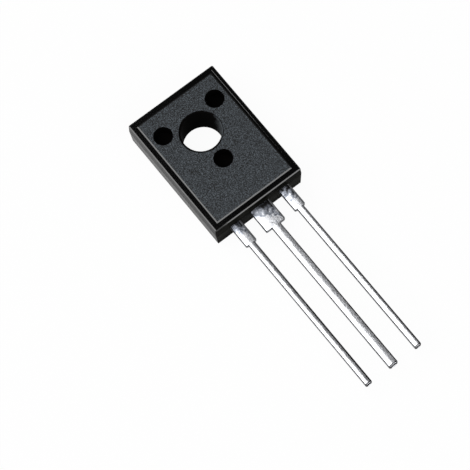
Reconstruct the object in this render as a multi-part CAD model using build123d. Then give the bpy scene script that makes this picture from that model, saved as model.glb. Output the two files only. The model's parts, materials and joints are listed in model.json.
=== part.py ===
from build123d import *
import os

# Triac in a flat three-lead plastic power package, in millimetres.
# The part lies on its back: the origin is the centre of the screw hole on the mounting plane,
# +Z runs out of the front face, +Y points at the body's top end and the leads run along -Y.

# Moulded body
body_width = 7.8
body_length = 10.6
back_half_depth = 1.8
front_half_depth = 0.9
mould_draft_angle = 3.3
body_corner_radius = 0.15
front_edge_drop = 0.045
front_edge_angle = 60
rim_width = 0.45
panel_rise = 0.05
panel_edge_angle = 60

# Screw hole
hole_diameter = 3.0
hole_to_top = 3.75
hole_edge_radius = 0.1
hole_lining = 0.5

# Recesses left by the pins that hold the tab down in the mould
pin_diameter = 1.4
pin_spacing = 4.7
upper_pin_rise = 1.45
lower_pin_drop = 2.65
pin_floor_over_tab = 0.45

# Leads
lead_pitch = 2.21
lead_thickness = 0.5
lead_length = 15.35
outer_lead_width = 0.54
centre_lead_width = 0.74
shoulder_length = 1.9
outer_shoulder_width = 0.94
centre_shoulder_width = 1.72
stamping_radius = 0.08

# Bonding posts at the inner ends of the outer leads
post_depth = 1.15
post_length = 0.75
post_width = 1.3

# Mounting tab
tab_thickness = 1.25
tab_side_cover = 0.75
tab_top_cover = 0.75
tab_to_post_gap = 0.3
tab_corner_radius = 0.5
tab_lock_step = 0.3
tab_lock_height = 0.45
neck_run = 0.6

# Chip and its solder layer
die_side = 1.8
die_thickness = 0.25
die_to_tab_end = 0.25
solder_thickness = 0.05
solder_spread = 0.1
moat_inset = 0.12
moat_width = 0.12
moat_depth = 0.06

# Bond wires
mt1_wire_diameter = 0.3
gate_wire_diameter = 0.15
wire_foot_length = 0.4
wire_loop_rise = 0.3
wire_bend_radius = 0.2
wire_sink_share = 0.15
wire_crest_shares = (0.4, 0.6)
mt1_bond_shares = (-0.2, 0.1)
gate_bond_shares = (0.2, -0.2)

# How far a cut runs past the face that it opens
cut_overrun = 1.0

# Heights and ends that follow from the sizes above
body_thickness = back_half_depth + front_half_depth
body_top = hole_to_top
body_end = hole_to_top - body_length
body_middle = (body_top + body_end) / 2
hole_radius = hole_diameter / 2
lead_top = back_half_depth
lead_bottom = lead_top - lead_thickness
shoulder_end = body_end - shoulder_length
lead_tip = body_end - lead_length
post_end = body_end + post_depth
tab_end = post_end + tab_to_post_gap
tab_top = body_top - tab_top_cover
tab_middle = (tab_top + tab_end) / 2
tab_width = body_width - 2 * tab_side_cover
tab_length = tab_top - tab_end
solder_top = tab_thickness + solder_thickness
die_top = solder_top + die_thickness
die_middle = tab_end + die_to_tab_end + die_side / 2


def plate(outline, bottom, top):
    """A flat outline made solid between two heights."""
    return extrude(Pos(0, 0, bottom) * outline, amount=top - bottom)


def strip(x, width, start, end):
    """A plan rectangle centred on x that runs from one y to another."""
    return Pos(x, (start + end) / 2) * Rectangle(width, abs(end - start))


def mould_half(depth, direction):
    """One drafted half of the moulding, drawn from the parting plane."""
    outline = RectangleRounded(body_width, body_length, body_corner_radius)
    parting = Pos(0, body_middle, back_half_depth) * outline
    return extrude(parting, amount=depth, dir=(0, 0, direction), taper=mould_draft_angle)


def front_half():
    """The front half up to its polished rim, whose outer edge is broken by a narrow bevel."""
    half = mould_half(front_half_depth - panel_rise - front_edge_drop, 1)
    top = half.faces().sort_by(Axis.Z)[-1]
    return half + extrude(top, amount=front_edge_drop, dir=(0, 0, 1), taper=front_edge_angle)


def front_panel():
    """The matte panel that stands proud of the polished rim, with sloping edges."""
    rim_outline = mould_half(front_half_depth - panel_rise, 1).faces().sort_by(Axis.Z)[-1]
    outline = offset(rim_outline, -rim_width)
    return extrude(outline, amount=panel_rise, dir=(0, 0, 1), taper=panel_edge_angle)


def pin_recesses():
    """The three blind holes of the hold-down pins: two beside the screw hole and one below it."""
    places = [
        (-pin_spacing / 2, upper_pin_rise),
        (pin_spacing / 2, upper_pin_rise),
        (0, -lower_pin_drop),
    ]
    outline = Locations(*places) * Circle(pin_diameter / 2)
    return plate(Sketch() + outline, tab_thickness + pin_floor_over_tab, body_thickness + cut_overrun)


def moulded_body(inner_pieces):
    """The black moulding, formed round the tab, the leads, the chip and the wires."""
    body = mould_half(back_half_depth, -1) + front_half() + front_panel()
    body -= plate(Circle(hole_radius), -cut_overrun, body_thickness + cut_overrun)
    body = fillet(body.edges().group_by(Axis.Z)[-1].filter_by(GeomType.CIRCLE), hole_edge_radius)
    body -= pin_recesses()
    for piece in inner_pieces:
        body -= piece
    return body


def lead_outline(x, lead_width, shoulder_width, start):
    """A stamped lead in plan: a wide shoulder that steps down to the narrow lead."""
    outline = strip(x, shoulder_width, start, shoulder_end)
    outline += strip(x, lead_width, shoulder_end, lead_tip)
    step_corners = outline.vertices().filter_by_position(Axis.Y, shoulder_end, shoulder_end)
    return fillet(step_corners, stamping_radius)


def outer_lead(x):
    """An outer lead, with the wide post that anchors it in the body and takes the bond wire."""
    outline = lead_outline(x, outer_lead_width, outer_shoulder_width, post_end)
    outline += strip(x, post_width, post_end, post_end - post_length)
    return plate(outline, lead_bottom, lead_top)


def tab_outline(inset):
    """The tab in plan, drawn in by an inset on every side."""
    outline = RectangleRounded(tab_width - 2 * inset, tab_length - 2 * inset, tab_corner_radius)
    return Pos(0, tab_middle) * outline


def tab_and_centre_lead():
    """The thick tab with a stepped locking edge, the neck that climbs from it, and the centre lead."""
    tab = plate(tab_outline(0), tab_lock_height, tab_thickness)
    tab += plate(tab_outline(tab_lock_step), 0, tab_lock_height)
    tab -= plate(Circle(hole_radius + hole_lining), -cut_overrun, tab_thickness + cut_overrun)
    neck_end = tab_end - neck_run
    side = Plane.YZ * make_face(Polyline(
        (tab_end, tab_thickness),
        (neck_end, lead_top),
        (neck_end, lead_bottom),
        (tab_end, tab_thickness - lead_thickness),
        close=True,
    ))
    neck = extrude(side, amount=centre_shoulder_width / 2, both=True)
    lead = lead_outline(0, centre_lead_width, centre_shoulder_width, neck_end)
    return tab + neck + plate(lead, lead_bottom, lead_top)


def die_outline(inset):
    """The square chip in plan, drawn in by an inset on every side."""
    return Pos(0, die_middle) * Rectangle(die_side - 2 * inset, die_side - 2 * inset)


def triac_die():
    """The chip, with the passivation moat cut round its top metal."""
    moat = die_outline(moat_inset) - die_outline(moat_inset + moat_width)
    return plate(die_outline(0), solder_top, die_top) - plate(moat, die_top - moat_depth, die_top)


def die_solder():
    """The solder layer, squeezed out a little past the chip."""
    return plate(die_outline(-solder_spread), tab_thickness, solder_top)


def bond_wire(bond_shares, post_x, diameter):
    """A wire bonded flat on the chip, looped over and bonded flat on a post."""
    start = Vector(bond_shares[0] * die_side, die_middle + bond_shares[1] * die_side)
    run = Vector(post_x, post_end - post_length / 2) - start
    side = Plane(start, x_dir=run, z_dir=run.cross(Vector(0, 0, 1)))
    lift = diameter / 2 - diameter * wire_sink_share
    crest = max(die_top, lead_top) + wire_loop_rise
    half_foot = wire_foot_length / 2
    route = side * FilletPolyline(
        (-half_foot, die_top + lift),
        (half_foot, die_top + lift),
        (run.length * wire_crest_shares[0], crest),
        (run.length * wire_crest_shares[1], crest),
        (run.length - half_foot, lead_top + lift),
        (run.length + half_foot, lead_top + lift),
        radius=wire_bend_radius,
    )
    section = Plane(route @ 0, z_dir=route % 0) * Circle(diameter / 2)
    return sweep(section, path=route)


tab_lead = tab_and_centre_lead()
mt1_lead = outer_lead(-lead_pitch)
gate_lead = outer_lead(lead_pitch)
die = triac_die()
solder = die_solder()
mt1_wire = bond_wire(mt1_bond_shares, -lead_pitch, mt1_wire_diameter) - die - mt1_lead
gate_wire = bond_wire(gate_bond_shares, lead_pitch, gate_wire_diameter) - die - gate_lead
body = moulded_body([tab_lead, mt1_lead, gate_lead, die, solder, mt1_wire, gate_wire])

nodes = {
    "moulded_body": body,
    "mt2_tab_and_lead": tab_lead,
    "mt1_lead": mt1_lead,
    "gate_lead": gate_lead,
    "triac_die": die,
    "die_solder": solder,
    "mt1_bond_wire": mt1_wire,
    "gate_bond_wire": gate_wire,
}

os.makedirs("parts", exist_ok=True)
for name, piece in nodes.items():
    export_step(piece, f"parts/{name}.step")
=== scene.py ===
import json
import math

import bmesh
import bpy
from mathutils import Matrix, Quaternion, Vector, noise
from mathutils.geometry import tessellate_polygon


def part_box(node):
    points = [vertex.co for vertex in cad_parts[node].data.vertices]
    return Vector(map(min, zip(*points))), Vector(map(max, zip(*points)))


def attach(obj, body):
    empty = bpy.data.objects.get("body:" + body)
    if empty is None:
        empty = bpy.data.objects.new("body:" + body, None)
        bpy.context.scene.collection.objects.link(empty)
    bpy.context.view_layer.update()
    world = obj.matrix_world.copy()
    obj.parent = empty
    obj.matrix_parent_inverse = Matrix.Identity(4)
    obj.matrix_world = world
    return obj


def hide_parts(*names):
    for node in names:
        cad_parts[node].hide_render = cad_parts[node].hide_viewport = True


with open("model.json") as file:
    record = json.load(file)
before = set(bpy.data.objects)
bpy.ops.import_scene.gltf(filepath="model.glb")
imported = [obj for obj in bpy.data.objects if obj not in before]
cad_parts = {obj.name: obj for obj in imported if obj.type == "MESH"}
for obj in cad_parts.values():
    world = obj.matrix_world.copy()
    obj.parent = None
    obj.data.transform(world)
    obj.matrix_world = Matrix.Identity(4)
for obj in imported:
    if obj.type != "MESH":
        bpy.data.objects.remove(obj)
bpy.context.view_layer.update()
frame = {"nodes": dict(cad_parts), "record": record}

# The dressed triac. A moulding, the two outer leads, and the tab with the centre lead stand for their
# plain solids, and the four pieces sealed inside get materials of their own. Lengths are in metres
# and colours are linear.

MM = 0.001
BODY = "root"

# Places read from the frame
body_low, body_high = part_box("moulded_body")
tab_low, tab_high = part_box("mt2_tab_and_lead")
mt1_low, mt1_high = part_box("mt1_lead")
mounts = {mount["name"]: mount for mount in frame["record"]["mounts"]}
hole_radius = mounts["screw_hole"]["dims"]["r_mm"] * MM
body_end = body_low.y
front_height = body_high.z
parting_height = mt1_high.z
lead_low = mt1_low.z
lead_thickness = mt1_high.z - mt1_low.z
lead_tip = mt1_low.y
lead_pitch = mounts["gate_terminal"]["pos_m"][0]
post_end = mt1_high.y
post_width = mt1_high.x - mt1_low.x
tab_top = tab_high.y

# Moulded body
draft_angle = math.radians(3.3)
draft_slope = math.tan(draft_angle)
bevel_angle = math.radians(60)
corner_radius = 0.15 * MM
least_corner_radius = 0.02 * MM
front_edge_drop = 0.045 * MM
front_edge_run = front_edge_drop * math.tan(bevel_angle)
back_edge_radius = 0.015 * MM
rim_width = 0.45 * MM
panel_rise = 0.05 * MM
panel_edge_run = panel_rise * math.tan(bevel_angle)
rim_height = front_height - panel_rise
groove_depth = 0.02 * MM
groove_half = 0.03 * MM
insert_line_inset = 0.34 * MM
insert_line_half = 0.02 * MM
insert_line_depth = 0.003 * MM

# Screw hole and pin recesses
hole_lining = 0.5 * MM
lining_radius = hole_radius + hole_lining
hole_edge = 0.1 * MM
hole_lip = 0.05 * MM
pin_radius = 0.7 * MM
pin_spacing = 4.7 * MM
upper_pin_rise = 1.45 * MM
lower_pin_drop = 2.65 * MM
pin_places = (
    (-pin_spacing / 2, upper_pin_rise),
    (pin_spacing / 2, upper_pin_rise),
    (0, -lower_pin_drop),
)
pin_floor = 1.7 * MM
pin_edge = 0.03 * MM

# Leads
outer_lead_width = 0.54 * MM
centre_lead_width = 0.74 * MM
outer_shoulder_width = 0.94 * MM
centre_shoulder_width = 1.72 * MM
shoulder_length = 1.9 * MM
shoulder_end = body_end - shoulder_length
post_length = 0.75 * MM
stamping_radius = 0.08 * MM
step_room = 2 * stamping_radius
lead_edge_radius = 0.07 * MM
tip_roll = 0.1 * MM
tip_roll_drop = 0.06 * MM
tip_bevel = 0.07 * MM
tip_round = 0.13 * MM

# Tin on the leads: where its crown peaks and where painted shade starts on its right edge, as shares
# of the half width, and how far it falls away to each side
crown_peaks = {"mt1_lead": -0.2, "mt2_tab_and_lead": -0.1, "gate_lead": 0.25}
painted_edge_shade_starts = {"mt1_lead": 0.75, "mt2_tab_and_lead": 0.94, "gate_lead": 0.9}
crown_right_drops = {
    "mt1_lead": 0.042 * MM,
    "mt2_tab_and_lead": 0.034 * MM,
    "gate_lead": 0.025 * MM,
}
crown_left_drop = 0.06 * MM
crown_left_power = 1.6
crown_right_power = 2.0
tin_wobble = 0.006 * MM
wobble_size = 0.5 * MM

# Tab
tab_thickness = 1.25 * MM
tab_corner_radius = 0.5 * MM
tab_lock_step = 0.3 * MM
tab_lock_height = 0.45 * MM
tab_to_post_gap = 0.3 * MM
tab_end = post_end + tab_to_post_gap
neck_run = 0.6 * MM
tab_edge = 0.03 * MM
tab_side = ((tab_lock_step, tab_lock_height), (0, tab_lock_height), (0, tab_thickness))

# Mesh fineness
corner_steps = 8
arc_steps = 6
hole_steps = 128
pin_steps = 64
crown_steps = 24
round_steps = 3
lead_spacing = 0.2 * MM
sharp_angle = math.radians(50)

# Order of the finishes in the two lists of materials at the end
MATTE, POLISHED, SATIN, DULL, END_WALL, FADED, BORE_PAINTED_LIGHT = range(7)
TIN, SIDE_SHADE, SHADE_LINE, BASE, EDGE_SHADE = range(5)

# Finishes. Tones are (position, colour) stops, a pair called rough has the roughness at the two ends
# of a field, and bumps are (strength, depth). A soft change of tone lies between the soft stops.
soft_stops = (0.3, 0.7)

# Epoxy
grain_size = 0.056 * MM
grain_roughness = 0.7
grain_tones = ((0.52, (0.001, 0.0012, 0.0015)), (0.57, (0.1, 0.119, 0.137)))
grain_bump = (0.5, 0.02 * MM)
matte_specular = 0.35
matte_rough = (0.5, 0.7)
flow_mark_size = 1.1 * MM
flow_dark_share = 0.6
flow_bump = (0.1, 0.01 * MM)
polished_black = (0.001, 0.001, 0.001)
polished_specular = 1.0
polished_rough = (0.06, 0.1)
satin_black = (0.004, 0.004, 0.004)
satin_specular = 0.05
satin_rough = (0.22, 0.3)
dull_black = (0.003, 0.0028, 0.0026)
dull_specular = 0.001
dull_rough = (0.3, 0.4)
# The end wall: lighter streaks of painted reflection along the parting line
streak_length = 4.0 * MM
streak_height = 0.14 * MM
painted_reflection_streak_tones = ((0.4, (0.003, 0.003, 0.0024)), (0.65, (0.016, 0.016, 0.013)))
end_wall_specular = 0.008
end_wall_rough = 0.5
edge_fade_end = body_low.x + 0.6 * MM
edge_fade_start = body_low.x + 1.5 * MM
edge_fade_rough = (0.75, 0.08)
# Painted light in the bore: grey patches on the wall that faces the key light
bore_lit_side = Vector((0.88, -0.475, 0))
bore_light_patch_size = 0.25 * MM
bore_light_unevenness = 0.3
bore_painted_light_tones = ((0.76, dull_black), (0.98, (0.066, 0.073, 0.079)))

# Metal
plain_rough_spread = 0.2
plain_bump = (0.3, 0.005 * MM)
blotch_start = body_end - 0.2 * MM
blotch_end = body_end - 2.2 * MM
blotch_size = 0.3 * MM
blotch_roughness = 0.6
# How far the blotches lean to the right of each lead: painted shade on its right side
painted_shade_lean = 0.35 / MM
blotch_spread = (-0.45, 1.45)
stain_and_shade_start = 1.0
stain_and_shade_full = 1.65
stain_and_shade_tones = (
    (0.0, (0.82, 0.83, 0.86)),
    (0.25, (0.44, 0.465, 0.52)),
    (0.6, (0.21, 0.225, 0.26)),
    (1.0, (0.03, 0.03, 0.03)),
)
tin_rough = (0.46, 0.34)
ripple_size = 0.2 * MM
ripple_depth = 0.02 * MM
ripple_strengths = (1.0, 0.55)
# Painted shade on the lead edges, darker towards the tips
edge_shade_patch_size = 0.6 * MM
edge_shade_unevenness = 0.35
edge_shade_tones = ((0.0, (0.3, 0.305, 0.32)), (0.4, (0.06, 0.061, 0.064)), (0.8, (0.006, 0.006, 0.0065)))
edge_shade_rough = (0.55, 0.45)

# Floor, a big soft key over the left, a lower front fill, and a dim room
floor_half = 0.6
floor_gap = 0.002 * MM
floor_colour = (0.9, 0.9, 0.9, 1)
floor_glow = 1.0
glow_seen = 0.95
glow_mirrored = 0.3
softboxes = {
    "key_softbox": {
        "direction": (-0.45, 0.25, 0.846),
        "distance": 0.45,
        "width": 0.56,
        "height": 0.50,
        "radiance": 2.6,
    },
    "front_softbox": {
        "direction": (0.10, -0.80, 0.58),
        "distance": 0.5,
        "width": 0.36,
        "height": 0.40,
        "radiance": 2.5,
    },
}
room_tones = ((0.2, (0.14, 0.14, 0.14)), (0.9, (0.02, 0.02, 0.02)))

# Camera fitted to the photograph
camera_place = Vector((-31.738, -59.283, 160.530)) * MM
camera_aim = Vector((-2.703, -7.415, 1.358)) * MM
camera_roll = math.radians(-8.98)
camera_lens = 181.34
camera_near = 10 * MM
camera_far = 10


def rounded_rectangle(low, high, radius, z):
    """Points of a rounded rectangle at one height, counter-clockwise from above."""
    points = []
    corners = (
        (high[0] - radius, high[1] - radius, 0),
        (low[0] + radius, high[1] - radius, 1),
        (low[0] + radius, low[1] + radius, 2),
        (high[0] - radius, low[1] + radius, 3),
    )
    for x, y, quarter in corners:
        for step in range(corner_steps + 1):
            angle = (quarter + step / corner_steps) * math.pi / 2
            points.append((x + radius * math.cos(angle), y + radius * math.sin(angle), z))
    return points


def circle(place, radius, z, steps):
    """Points of a circle at one height, counter-clockwise from above."""
    turns = [2 * math.pi * step / steps for step in range(steps)]
    return [(place[0] + radius * math.cos(a), place[1] + radius * math.sin(a), z) for a in turns]


def quarter_arc(steps):
    """Sine and cosine pairs over a quarter turn."""
    turns = [math.pi / 2 * step / steps for step in range(steps + 1)]
    return [(math.sin(turn), math.cos(turn)) for turn in turns]


def rounded_edge(radius):
    """Places on a rounded edge, by their distances from the two faces that it joins: the first falls
    from the radius to nothing and the second grows from nothing to the radius."""
    return [(radius * (1 - sine), radius * (1 - cosine)) for sine, cosine in quarter_arc(arc_steps)]


class Shell:
    """A mesh made of rings of points, with walls between them and flat fills. Each wall and fill is
    shaded on its own, with a crease where it meets the next."""

    def __init__(self):
        self.mesh = bmesh.new()
        self.group = self.mesh.faces.layers.int.new("group")
        self.groups = 0

    def add_faces(self, corner_lists, materials):
        """One group of faces that are shaded together."""
        self.groups += 1
        for corners, material in zip(corner_lists, materials):
            face = self.mesh.faces.new(corners)
            face.material_index = material
            face.smooth = True
            face[self.group] = self.groups

    def ring(self, points):
        """New vertices at the points of a ring."""
        return [self.mesh.verts.new(point) for point in points]

    def wall(self, rings, material):
        """Quads between rings, in one material or in one for each place round the ring."""
        count = len(rings[0])
        materials = [material] * count if isinstance(material, int) else material
        faces = []
        for first, second in zip(rings, rings[1:]):
            for here in range(count):
                there = (here + 1) % count
                faces.append((first[here], first[there], second[there], second[here]))
        self.add_faces(faces, materials * (len(rings) - 1))

    def fill(self, outer, holes, material):
        """A flat face inside a ring, with holes."""
        loops = [outer, *holes]
        verts = [vert for loop in loops for vert in loop]
        triangles = tessellate_polygon([[vert.co for vert in loop] for loop in loops])
        faces = [[verts[index] for index in triangle] for triangle in triangles]
        self.add_faces(faces, [material] * len(faces))

    def finish(self, name, materials, node, slot):
        """The finished piece, which rides on the body and stands for its CAD node."""
        mesh = self.mesh
        bmesh.ops.recalc_face_normals(mesh, faces=mesh.faces)
        for edge in mesh.edges:
            groups = {face[self.group] for face in edge.link_faces}
            if len(groups) > 1 or edge.calc_face_angle(0) > sharp_angle:
                edge.smooth = False
        data = bpy.data.meshes.new(name)
        mesh.to_mesh(data)
        mesh.free()
        for material in materials:
            data.materials.append(material)
        piece = bpy.data.objects.new(name, data)
        bpy.context.collection.objects.link(piece)
        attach(piece, BODY)
        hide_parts(node)


def draft_inset(z):
    """How far the draft draws the walls in at one height."""
    return abs(z - parting_height) * draft_slope


def body_outline(inset, z):
    """The body's outline at one height, drawn in by an inset."""
    radius = max(corner_radius - inset, least_corner_radius)
    low = (body_low.x + inset, body_low.y + inset)
    high = (body_high.x - inset, body_high.y - inset)
    return rounded_rectangle(low, high, radius, z)


def body_rings(shell, profile):
    """Rings of the body at (inset, height) pairs."""
    return [shell.ring(body_outline(inset, z)) for inset, z in profile]


def tab_rings(shell, profile):
    """Rings of the tab's outline at (inset, height) pairs."""
    rings = []
    for inset, z in profile:
        low = (tab_low.x + inset, tab_end + inset)
        high = (tab_high.x - inset, tab_top - inset)
        rings.append(shell.ring(rounded_rectangle(low, high, tab_corner_radius, z)))
    return rings


def hole_ring(shell, radius, z):
    """A ring round the axis of the screw hole."""
    return shell.ring(circle((0, 0), radius, z, hole_steps))


def insert_line(shell):
    """Rings of the hair line that a mould insert left in the rim: a fine groove at the upper right
    corner that fades out along the top and the right side."""
    sides = [body_outline(insert_line_inset + side * insert_line_half, rim_height) for side in (-1, 0, 1)]
    for index in range(corner_steps + 1):
        x, y, z = sides[1][index]
        sides[1][index] = (x, y, z - insert_line_depth)
    return [shell.ring(points) for points in sides]


def add_outer_wall(shell):
    """The drafted walls, with the parting groove and the bevel up to the rim. Returns the rings at
    the back and at the rim."""
    back_edge = body_rings(
        shell, [(draft_inset(z) + inset, z) for inset, z in rounded_edge(back_edge_radius)]
    )
    groove_low = parting_height - groove_half
    groove_high = parting_height + groove_half
    groove = body_rings(shell, [
        (draft_inset(groove_low), groove_low),
        (groove_depth, parting_height),
        (draft_inset(groove_high), groove_high),
    ])
    bevel_start = rim_height - front_edge_drop
    bevel = body_rings(shell, [
        (draft_inset(bevel_start), bevel_start),
        (draft_inset(bevel_start) + front_edge_run, rim_height),
    ])
    # The end wall gets streaks of painted reflection
    at_end = [vert.co.y < body_end + corner_radius for vert in groove[-1]]
    finishes = [END_WALL if end else SATIN for end in at_end]
    shell.wall(back_edge, finishes)
    shell.wall([back_edge[-1], groove[0]], finishes)
    shell.wall(groove, finishes)
    shell.wall([groove[-1], bevel[0]], finishes)
    shell.wall(bevel, [FADED if end else POLISHED for end in at_end])
    return back_edge[0], bevel[-1]


def add_rim(shell, outer_edge):
    """The polished rim with its hair line, and the slope up to the panel. Returns the panel's ring."""
    slope_start = draft_inset(rim_height) + rim_width
    slope = body_rings(shell, [
        (slope_start, rim_height),
        (slope_start + panel_edge_run, front_height),
    ])
    rings = [outer_edge, *insert_line(shell), slope[0]]
    for pair in zip(rings, rings[1:]):
        shell.wall(pair, POLISHED)
    shell.wall(slope, POLISHED)
    return slope[-1]


def add_bore(shell):
    """The screw hole: a narrow smooth lip, a rounded mouth and a wall with painted light on its right
    side. Returns its end rings.
    """
    lip = hole_ring(shell, hole_radius + hole_edge + hole_lip, front_height)
    bore = [
        hole_ring(shell, hole_radius + outward, front_height - depth)
        for outward, depth in rounded_edge(hole_edge)
    ]
    bore.append(hole_ring(shell, hole_radius, 0))
    shell.wall([lip, bore[0]], DULL)
    # The bore wall carries painted light on its right side
    shell.wall(bore, BORE_PAINTED_LIGHT)
    return lip, bore[-1]


def add_recess(shell, place):
    """A blind pin recess with slightly rounded edges. Returns the ring of its mouth."""
    profile = [(pin_radius + outward, front_height - depth) for outward, depth in rounded_edge(pin_edge)]
    profile += [(pin_radius - inward, pin_floor + rise) for rise, inward in rounded_edge(pin_edge)]
    rings = [shell.ring(circle(place, radius, z, pin_steps)) for radius, z in profile]
    shell.wall(rings, DULL)
    shell.fill(rings[-1], [], DULL)
    return rings[0]


def add_back(shell, back_edge, bore_end):
    """The flat back, the stepped pocket that holds the tab, and the lining round the screw hole."""
    pocket = tab_rings(shell, [(tab_lock_step, 0), *tab_side])
    lining = [hole_ring(shell, lining_radius, z) for z in (tab_thickness, 0)]
    shell.wall(pocket, SATIN)
    shell.fill(pocket[-1], [lining[0]], SATIN)
    shell.wall(lining, SATIN)
    shell.fill(back_edge, [pocket[0]], SATIN)
    shell.fill(lining[-1], [bore_end], SATIN)


def make_body(materials):
    """The moulding: drafted halves, polished rim, raised matte panel, bore, recesses and tab pocket."""
    shell = Shell()
    back_edge, rim_edge = add_outer_wall(shell)
    panel_edge = add_rim(shell, rim_edge)
    bore_mouth, bore_end = add_bore(shell)
    recess_mouths = [add_recess(shell, place) for place in pin_places]
    shell.fill(panel_edge, [bore_mouth, *recess_mouths], MATTE)
    add_back(shell, back_edge, bore_end)
    shell.finish("epoxy_moulding", materials, "moulded_body", "black_epoxy")


def crown_height(share, thickness, node):
    """The tinned top of a lead at a share of its half width: highest at its peak near the middle."""
    peak = crown_peaks[node]
    if share < peak:
        reach = (peak - share) / (peak + 1)
        return thickness - crown_left_drop * reach ** crown_left_power
    reach = (share - peak) / (1 - peak)
    return thickness - crown_right_drops[node] * reach ** crown_right_power


def lead_section(width, thickness, node):
    """A section across a lead: points from the right over the crowned top and on round, each with
    the finish of the face between it and the next."""
    half = width / 2
    flat = half - lead_edge_radius
    arc = quarter_arc(round_steps)
    section = []
    for step in range(crown_steps + 1):
        share = 1 - 2 * step / crown_steps
        # Past this share the right edge takes painted shade
        finish = EDGE_SHADE if share > painted_edge_shade_starts[node] else TIN
        section.append((share * flat, crown_height(share, thickness, node), finish))
    left_top = crown_height(-1, thickness, node) - lead_edge_radius
    right_top = crown_height(1, thickness, node) - lead_edge_radius
    # The rounding at the upper left is a dark line of painted shade
    for sine, cosine in arc[1:]:
        section.append((-flat - lead_edge_radius * sine, left_top + lead_edge_radius * cosine, SHADE_LINE))
    # The last point of that rounding is where the left side, darkened with painted shade, starts
    section[-1] = (*section[-1][:2], SIDE_SHADE)
    for sine, cosine in arc:
        section.append((-flat - lead_edge_radius * cosine, lead_edge_radius * (1 - sine), TIN))
    for sine, cosine in arc[:0:-1]:
        section.append((flat + lead_edge_radius * cosine, lead_edge_radius * (1 - sine), TIN))
    # The right side, darkened with painted shade
    section.append((half, lead_edge_radius, SIDE_SHADE))
    # The rounding at the upper right is darkened with painted shade
    for sine, cosine in arc[:0:-1]:
        section.append((flat + lead_edge_radius * sine, right_top + lead_edge_radius * cosine, EDGE_SHADE))
    return section


def lead_ring(x, station, node):
    """A lead's section set in place, with the slight unevenness of its tin."""
    y, width, z_low, thickness = station
    middle = thickness / 2
    points = []
    for across, upward, _ in lead_section(width, thickness, node):
        sample = Vector((x + across, upward, y)) / wobble_size
        shrink = 1 - tin_wobble / lead_thickness * (1 + noise.noise(sample))
        points.append((x + across * shrink, y, z_low + middle + (upward - middle) * shrink))
    return points


def straight_run(start, end, width):
    """Stations (y, width, height, thickness) of a lead between two places at one width."""
    steps = max(1, round(abs(end - start) / lead_spacing))
    shares = [step / steps for step in range(steps + 1)]
    return [(start + (end - start) * share, width, lead_low, lead_thickness) for share in shares]


def step_up(place, narrow, wide):
    """Stations of a stamped step from a narrow width to a wide one, rounded at both corners."""
    stations = []
    for back, growth in rounded_edge(stamping_radius):
        stations.append((place - back, narrow + 2 * growth, lead_low, lead_thickness))
    for shortfall, forward in rounded_edge(stamping_radius):
        stations.append((place + forward, wide - 2 * shortfall, lead_low, lead_thickness))
    return stations


def tip_width(width, reach):
    """A lead's width at a distance from its tip, whose corners are rounded in plan."""
    short = max(0, 1 - reach / tip_round)
    return width - 2 * tip_round * (1 - math.sqrt(1 - short ** 2))


def cut_tip(width):
    """Stations of the sheared tip: its bevelled cut face, then the top edge rolled over by the cut."""
    face_thickness = lead_thickness - tip_roll_drop - 2 * tip_bevel
    stations = [(lead_tip, tip_width(width, 0), lead_low + tip_bevel, face_thickness)]
    for sine, cosine in quarter_arc(arc_steps):
        reach = tip_bevel + tip_roll * (1 - cosine)
        thickness = lead_thickness - tip_roll_drop * (1 - sine)
        stations.append((lead_tip + reach, tip_width(width, reach), lead_low, thickness))
    return stations


def outside_stations(lead_width, shoulder_width):
    """Stations of a lead from its tip to the start of its shoulder."""
    run_start = lead_tip + tip_bevel + 2 * tip_roll
    return [
        *cut_tip(lead_width),
        *straight_run(run_start, shoulder_end - step_room, lead_width),
        *step_up(shoulder_end, lead_width, shoulder_width),
    ]


def loft_lead(shell, x, stations, node):
    """A tinned lead lofted through its stations. At its tip the bevel and the inner half of the rolled
    edge are darkened with painted shade."""
    rings = [shell.ring(lead_ring(x, station, node)) for station in stations]
    finishes = [finish for _, _, finish in lead_section(outer_lead_width, lead_thickness, node)]
    roll_end = arc_steps + 2
    roll_middle = roll_end - arc_steps // 2
    shell.fill(rings[0], [], TIN)
    # The bevel of the cut tip is darkened with painted shade
    shell.wall(rings[:2], EDGE_SHADE)
    shell.wall(rings[1:roll_middle], finishes)
    # The inner half of the rolled tip edge: a dark band of painted shade
    shell.wall(rings[roll_middle - 1:roll_end], SHADE_LINE)
    shell.wall(rings[roll_end - 1:], finishes)
    shell.fill(rings[-1], [], TIN)


def make_outer_lead(name, node, materials):
    """An outer lead with the post that anchors it in the moulding."""
    low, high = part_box(node)
    post_start = post_end - post_length
    stations = [
        *outside_stations(outer_lead_width, outer_shoulder_width),
        *straight_run(shoulder_end + step_room, post_start - step_room, outer_shoulder_width),
        *step_up(post_start, outer_shoulder_width, post_width),
        *straight_run(post_start + step_room, post_end, post_width),
    ]
    shell = Shell()
    loft_lead(shell, (low.x + high.x) / 2, stations, node)
    shell.finish(name, materials, node, "tinned_copper")


def make_tab_and_lead(materials):
    """The exposed tab, the neck that climbs from it, and the centre lead."""
    stations = [
        *outside_stations(centre_lead_width, centre_shoulder_width),
        *straight_run(shoulder_end + step_room, tab_end - neck_run, centre_shoulder_width),
        (tab_end, centre_shoulder_width, tab_thickness - lead_thickness, lead_thickness),
    ]
    shell = Shell()
    loft_lead(shell, 0, stations, "mt2_tab_and_lead")
    profile = [(tab_lock_step + inward, z) for inward, z in rounded_edge(tab_edge)]
    tab = tab_rings(shell, [*profile, *tab_side])
    bore = [hole_ring(shell, lining_radius, z) for z in (0, tab_thickness)]
    shell.wall(tab, BASE)
    shell.wall(bore, BASE)
    shell.fill(tab[0], [bore[0]], BASE)
    shell.fill(tab[-1], [bore[-1]], BASE)
    shell.finish("tinned_tab_and_lead", materials, "mt2_tab_and_lead", "tinned_copper")


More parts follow.
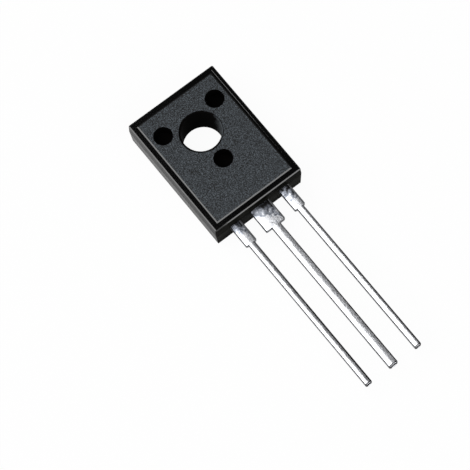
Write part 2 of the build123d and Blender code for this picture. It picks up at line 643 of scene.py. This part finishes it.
class Nodes:
    """A node tree and the kinds of node that the finishes are made of."""

    def __init__(self, tree):
        self.tree = tree
        tree.nodes.clear()

    def feed(self, node, socket, value):
        """A link into an input where the value is another node's output, or else its constant."""
        if isinstance(value, bpy.types.NodeSocket):
            self.tree.links.new(value, node.inputs[socket])
        else:
            node.inputs[socket].default_value = value

    def add(self, kind, **settings):
        """A node with its properties and inputs. An input's name has _ for each space."""
        node = self.tree.nodes.new(kind)
        for key, value in settings.items():
            if hasattr(node, key):
                setattr(node, key, value)
            else:
                self.feed(node, key.replace("_", " "), value)
        return node

    def surface(self, **inputs):
        """A principled surface wired to the material's output."""
        shader = self.add("ShaderNodeBsdfPrincipled", **inputs)
        self.add("ShaderNodeOutputMaterial", Surface=shader.outputs["BSDF"])

    def place(self, kind="Object"):
        """A texture coordinate. The Object coordinate of a piece is the part's own."""
        return self.add("ShaderNodeTexCoord").outputs[kind]

    def axes(self, place):
        """The X, Y and Z of a coordinate."""
        return self.add("ShaderNodeSeparateXYZ", Vector=place).outputs

    def noise(self, size, octaves, roughness=0.5):
        """Solid noise over the part's own coordinates, with features of about one size."""
        field = self.add("ShaderNodeTexNoise", Scale=1 / size, Detail=octaves, Roughness=roughness)
        self.feed(field, "Vector", self.place())
        return field.outputs["Fac"]

    def ramp(self, value, stops):
        """A colour ramp over a value, given as (position, colour) stops."""
        node = self.add("ShaderNodeValToRGB", Fac=value)
        elements = node.color_ramp.elements
        while len(elements) < len(stops):
            # A new element starts half way and gets its own position below
            elements.new(0.5)
        for element, (position, colour) in zip(elements, stops):
            element.position = position
            element.color = (*colour, 1)
        return node.outputs["Color"]

    def spread(self, value, low, high, start=0, end=1, clamp=True):
        """A value mapped from the range start to end onto the range low to high."""
        node = self.add("ShaderNodeMapRange", clamp=clamp, Value=value, From_Min=start, From_Max=end)
        self.feed(node, "To Min", low)
        self.feed(node, "To Max", high)
        return node.outputs["Result"]

    def calculate(self, operation, *values):
        """A sum or the like of outputs and plain numbers."""
        node = self.add("ShaderNodeMath", operation=operation)
        for socket, value in enumerate(values):
            self.feed(node, socket, value)
        return node.outputs["Value"]

    def bump(self, height, strength, depth):
        """Fine relief from a height field."""
        node = self.add("ShaderNodeBump", Height=height, Strength=strength, Distance=depth)
        return node.outputs["Normal"]

    def mix(self, share, first, second):
        """Two shaders mixed by the share of the second."""
        node = self.add("ShaderNodeMixShader", Fac=share)
        self.feed(node, 1, first)
        self.feed(node, 2, second)
        return node.outputs["Shader"]


def new_material(name):
    """A material with an empty node tree."""
    material = bpy.data.materials.new(name)
    material.use_nodes = True
    return material, Nodes(material.node_tree)


def matte_epoxy():
    """The spark-eroded panel: fine grain, charcoal grey under a flat light."""
    material, nodes = new_material("epoxy_matte")
    grain = nodes.noise(grain_size, octaves=2, roughness=grain_roughness)
    nodes.surface(
        Base_Color=nodes.ramp(grain, grain_tones),
        Roughness=nodes.spread(grain, *matte_rough),
        Specular_IOR_Level=matte_specular,
        Normal=nodes.bump(grain, *grain_bump),
    )
    return material


def flow_tint(nodes, flow, colour):
    """A colour that is darker in the faint marks of the epoxy's flow."""
    darker = tuple(flow_dark_share * channel for channel in colour)
    return nodes.ramp(flow, tuple(zip(soft_stops, (darker, colour))))


def smooth_epoxy(name, colour, specular, rough):
    """Epoxy from a smooth mould face, with faint flow marks."""
    material, nodes = new_material(name)
    flow = nodes.noise(flow_mark_size, octaves=4)
    nodes.surface(
        Base_Color=flow_tint(nodes, flow, colour),
        Roughness=nodes.spread(flow, *rough),
        Specular_IOR_Level=specular,
        Normal=nodes.bump(flow, *flow_bump),
    )
    return material


def end_wall_painted_streaks_epoxy():
    """The end wall, with faint streaks of painted reflection along the parting line."""
    material, nodes = new_material("epoxy_end_wall_painted_streaks")
    stretch = nodes.add("ShaderNodeMapping", Vector=nodes.place())
    nodes.feed(stretch, "Scale", (1 / streak_length, 1 / streak_length, 1 / streak_height))
    streak = nodes.add("ShaderNodeTexNoise", Vector=stretch.outputs["Vector"], Scale=1.0, Detail=3.0)
    nodes.surface(
        Base_Color=nodes.ramp(streak.outputs["Fac"], painted_reflection_streak_tones),
        Roughness=end_wall_rough,
        Specular_IOR_Level=end_wall_specular,
    )
    return material


def faded_epoxy():
    """The polished lower edge, which goes dull towards the left corner."""
    material, nodes = new_material("epoxy_faded_edge")
    flow = nodes.noise(flow_mark_size, octaves=4)
    sideways = nodes.axes(nodes.place())["X"]
    nodes.surface(
        Base_Color=flow_tint(nodes, flow, polished_black),
        Roughness=nodes.spread(sideways, *edge_fade_rough, start=edge_fade_end, end=edge_fade_start),
        Specular_IOR_Level=polished_specular,
        Normal=nodes.bump(flow, *flow_bump),
    )
    return material


def bore_painted_light_epoxy():
    """The dark wall of the bore, with painted light: lighter grey patches on its right side, where the
    key light falls.
    """
    material, nodes = new_material("epoxy_bore_painted_light")
    side = nodes.add("ShaderNodeVectorMath", operation="DOT_PRODUCT")
    nodes.feed(side, 0, nodes.place())
    nodes.feed(side, 1, bore_lit_side / hole_radius)
    patch = nodes.noise(bore_light_patch_size, octaves=3)
    uneven = nodes.spread(patch, -bore_light_unevenness, bore_light_unevenness)
    amount = nodes.calculate("ADD", side.outputs["Value"], uneven)
    nodes.surface(
        Base_Color=nodes.ramp(amount, bore_painted_light_tones),
        Roughness=nodes.spread(patch, *dull_rough),
        Specular_IOR_Level=dull_specular,
        Normal=nodes.bump(patch, *flow_bump),
    )
    return material


def tinned_metal():
    """Hot-dipped tin: bright and slightly wavy, with dark blotches of flux close to the body. On each
    lead the blotches lean to the right, which adds painted shade to its right side."""
    material, nodes = new_material("tin_plating")
    axes = nodes.axes(nodes.place())
    near_body = nodes.spread(axes["Y"], 0, 1, start=blotch_end, end=blotch_start)
    across = nodes.calculate("WRAP", axes["X"], lead_pitch / 2, -lead_pitch / 2)
    # Pushing the stain up on the right of each lead paints shade there
    lean = nodes.calculate("MULTIPLY_ADD", across, painted_shade_lean, near_body)
    blotch = nodes.noise(blotch_size, octaves=4, roughness=blotch_roughness)
    amount = nodes.calculate("ADD", lean, nodes.spread(blotch, *blotch_spread))
    stain_and_shade = nodes.spread(amount, 0, 1, start=stain_and_shade_start, end=stain_and_shade_full)
    ripple = nodes.noise(ripple_size, octaves=1)
    calm = nodes.spread(near_body, *ripple_strengths)
    nodes.surface(
        Base_Color=nodes.ramp(stain_and_shade, stain_and_shade_tones),
        Metallic=1.0,
        Roughness=nodes.spread(blotch, *tin_rough),
        Normal=nodes.bump(ripple, calm, ripple_depth),
    )
    return material


def painted_edge_shade():
    """Painted shade on the right edges of the leads and the bevels of their tips, darker towards the
    tips. The distance along them isn't clamped, so that the shoulders stay light."""
    material, nodes = new_material("tin_painted_edge_shade")
    lengthways = nodes.axes(nodes.place())["Y"]
    along = nodes.spread(lengthways, 0, 1, start=shoulder_end, end=lead_tip, clamp=False)
    patch = nodes.noise(edge_shade_patch_size, octaves=3)
    uneven = nodes.spread(patch, -edge_shade_unevenness, edge_shade_unevenness)
    nodes.surface(
        Base_Color=nodes.ramp(nodes.calculate("ADD", along, uneven), edge_shade_tones),
        Metallic=1.0,
        Roughness=nodes.spread(patch, *edge_shade_rough),
        Normal=nodes.bump(patch, *plain_bump),
    )
    return material


def plain_metal(name, dark, light, size, rough):
    """A cut, stamped or hidden metal surface with fine variation."""
    material, nodes = new_material(name)
    field = nodes.noise(size, octaves=3)
    rough_high = (1 + plain_rough_spread) * rough
    rough_low = (1 - plain_rough_spread) * rough
    nodes.surface(
        Base_Color=nodes.ramp(field, tuple(zip(soft_stops, (dark, light)))),
        Metallic=1.0,
        Roughness=nodes.spread(field, rough_high, rough_low),
        Normal=nodes.bump(field, *plain_bump),
    )
    return material


def dress_inside():
    """Finishes for the pieces sealed in the moulding."""
    silicon = plain_metal(
        "die_silicon", dark=(0.2, 0.21, 0.24), light=(0.3, 0.31, 0.34), size=MM / 4, rough=0.25
    )
    solder = plain_metal(
        "die_solder_layer", dark=(0.4, 0.4, 0.42), light=(0.6, 0.6, 0.62), size=MM / 6, rough=0.45
    )
    wire = plain_metal(
        "wire_aluminium", dark=(0.7, 0.7, 0.72), light=(0.85, 0.85, 0.86), size=MM / 9, rough=0.3
    )
    finishes = {
        "triac_die": silicon,
        "die_solder": solder,
        "mt1_bond_wire": wire,
        "gate_bond_wire": wire,
    }
    for node, material in finishes.items():
        frame["nodes"][node].material_slots[0].material = material


def floor_paper():
    """White paper. Seen directly it nearly all glows white and keeps a little of its shading for the
    shadow, in a reflection it glows less, and from below it is clear."""
    material, nodes = new_material("floor_white")
    paper = nodes.add("ShaderNodeBsdfDiffuse", Color=floor_colour).outputs["BSDF"]
    glow = nodes.add("ShaderNodeEmission", Strength=floor_glow).outputs["Emission"]
    clear = nodes.add("ShaderNodeBsdfTransparent").outputs["BSDF"]
    rays = nodes.add("ShaderNodeLightPath").outputs
    below = nodes.add("ShaderNodeNewGeometry").outputs["Backfacing"]
    direct = nodes.calculate("MULTIPLY", rays["Is Camera Ray"], glow_seen)
    mirrored = nodes.calculate("MAXIMUM", rays["Is Glossy Ray"], rays["Is Transmission Ray"])
    share = nodes.calculate("MULTIPLY_ADD", mirrored, glow_mirrored, direct)
    sheet = nodes.mix(below, nodes.mix(share, paper, glow), clear)
    nodes.add("ShaderNodeOutputMaterial", Surface=sheet)
    return material


def make_floor():
    """A plain white floor just under the part."""
    z = body_low.z - floor_gap
    signs = ((-1, -1), (1, -1), (1, 1), (-1, 1))
    corners = [(x * floor_half, y * floor_half, z) for x, y in signs]
    data = bpy.data.meshes.new("studio_floor")
    data.from_pydata(corners, [], [(0, 1, 2, 3)])
    data.materials.append(floor_paper())
    floor = bpy.data.objects.new("studio_floor", data)
    bpy.context.collection.objects.link(floor)


def make_softbox(name, direction, distance, width, height, radiance):
    """A rectangular soft light that faces the part."""
    light = bpy.data.lights.new(name, "AREA")
    light.shape = "RECTANGLE"
    light.size = width
    light.size_y = height
    light.energy = radiance * math.pi * width * height
    outward = Vector(direction).normalized()
    across = Vector((0, 1, 0)).cross(outward).normalized()
    lamp = bpy.data.objects.new(name, light)
    lamp.location = outward * distance
    lamp.rotation_euler = Matrix((across, outward.cross(across), outward)).transposed().to_euler()
    bpy.context.collection.objects.link(lamp)


def make_room():
    """A dim room, darker towards the ceiling."""
    world = bpy.data.worlds.new("studio_room")
    world.use_nodes = True
    nodes = Nodes(world.node_tree)
    height = nodes.axes(nodes.place("Generated"))["Z"]
    room = nodes.add("ShaderNodeBackground", Color=nodes.ramp(height, room_tones))
    nodes.add("ShaderNodeOutputWorld", Surface=room.outputs["Background"])
    bpy.context.scene.world = world


def make_camera():
    """The photograph's own view: high over the front face, with the leads running to the lower right."""
    data = bpy.data.cameras.new("photo_camera")
    data.lens = camera_lens
    data.clip_start = camera_near
    data.clip_end = camera_far
    camera = bpy.data.objects.new("photo_camera", data)
    camera.location = camera_place
    aim = (camera_aim - camera_place).to_track_quat("-Z", "Y")
    camera.rotation_mode = "QUATERNION"
    camera.rotation_quaternion = aim @ Quaternion((0, 0, 1), camera_roll)
    bpy.context.collection.objects.link(camera)
    bpy.context.scene.camera = camera


epoxy_materials = [
    matte_epoxy(),
    smooth_epoxy("epoxy_polished", polished_black, polished_specular, polished_rough),
    smooth_epoxy("epoxy_satin", satin_black, satin_specular, satin_rough),
    smooth_epoxy("epoxy_dull", dull_black, dull_specular, dull_rough),
    end_wall_painted_streaks_epoxy(),
    faded_epoxy(),
    bore_painted_light_epoxy(),
]
tin_materials = [
    tinned_metal(),
    # Dark metal for the lead sides: painted shade of the dark floor that they face
    plain_metal(
        "tin_side_painted_shade", dark=(0.13, 0.134, 0.14), light=(0.22, 0.225, 0.235), size=MM / 9, rough=0.4
    ),
    # Near-black metal for the lines of painted shade on the lead edges
    plain_metal(
        "tin_painted_shade_line", dark=(0.02, 0.021, 0.023), light=(0.045, 0.046, 0.05), size=MM / 9, rough=0.4
    ),
    plain_metal(
        "tin_mounting_base", dark=(0.66, 0.67, 0.69), light=(0.82, 0.83, 0.85), size=MM / 5, rough=0.35
    ),
    painted_edge_shade(),
]
make_body(epoxy_materials)
make_outer_lead("tinned_mt1_lead", "mt1_lead", tin_materials)
make_outer_lead("tinned_gate_lead", "gate_lead", tin_materials)
make_tab_and_lead(tin_materials)
dress_inside()
make_floor()
for lamp_name, softbox in softboxes.items():
    make_softbox(lamp_name, **softbox)
make_room()
make_camera()
bpy.context.scene.view_settings.view_transform = "Standard"
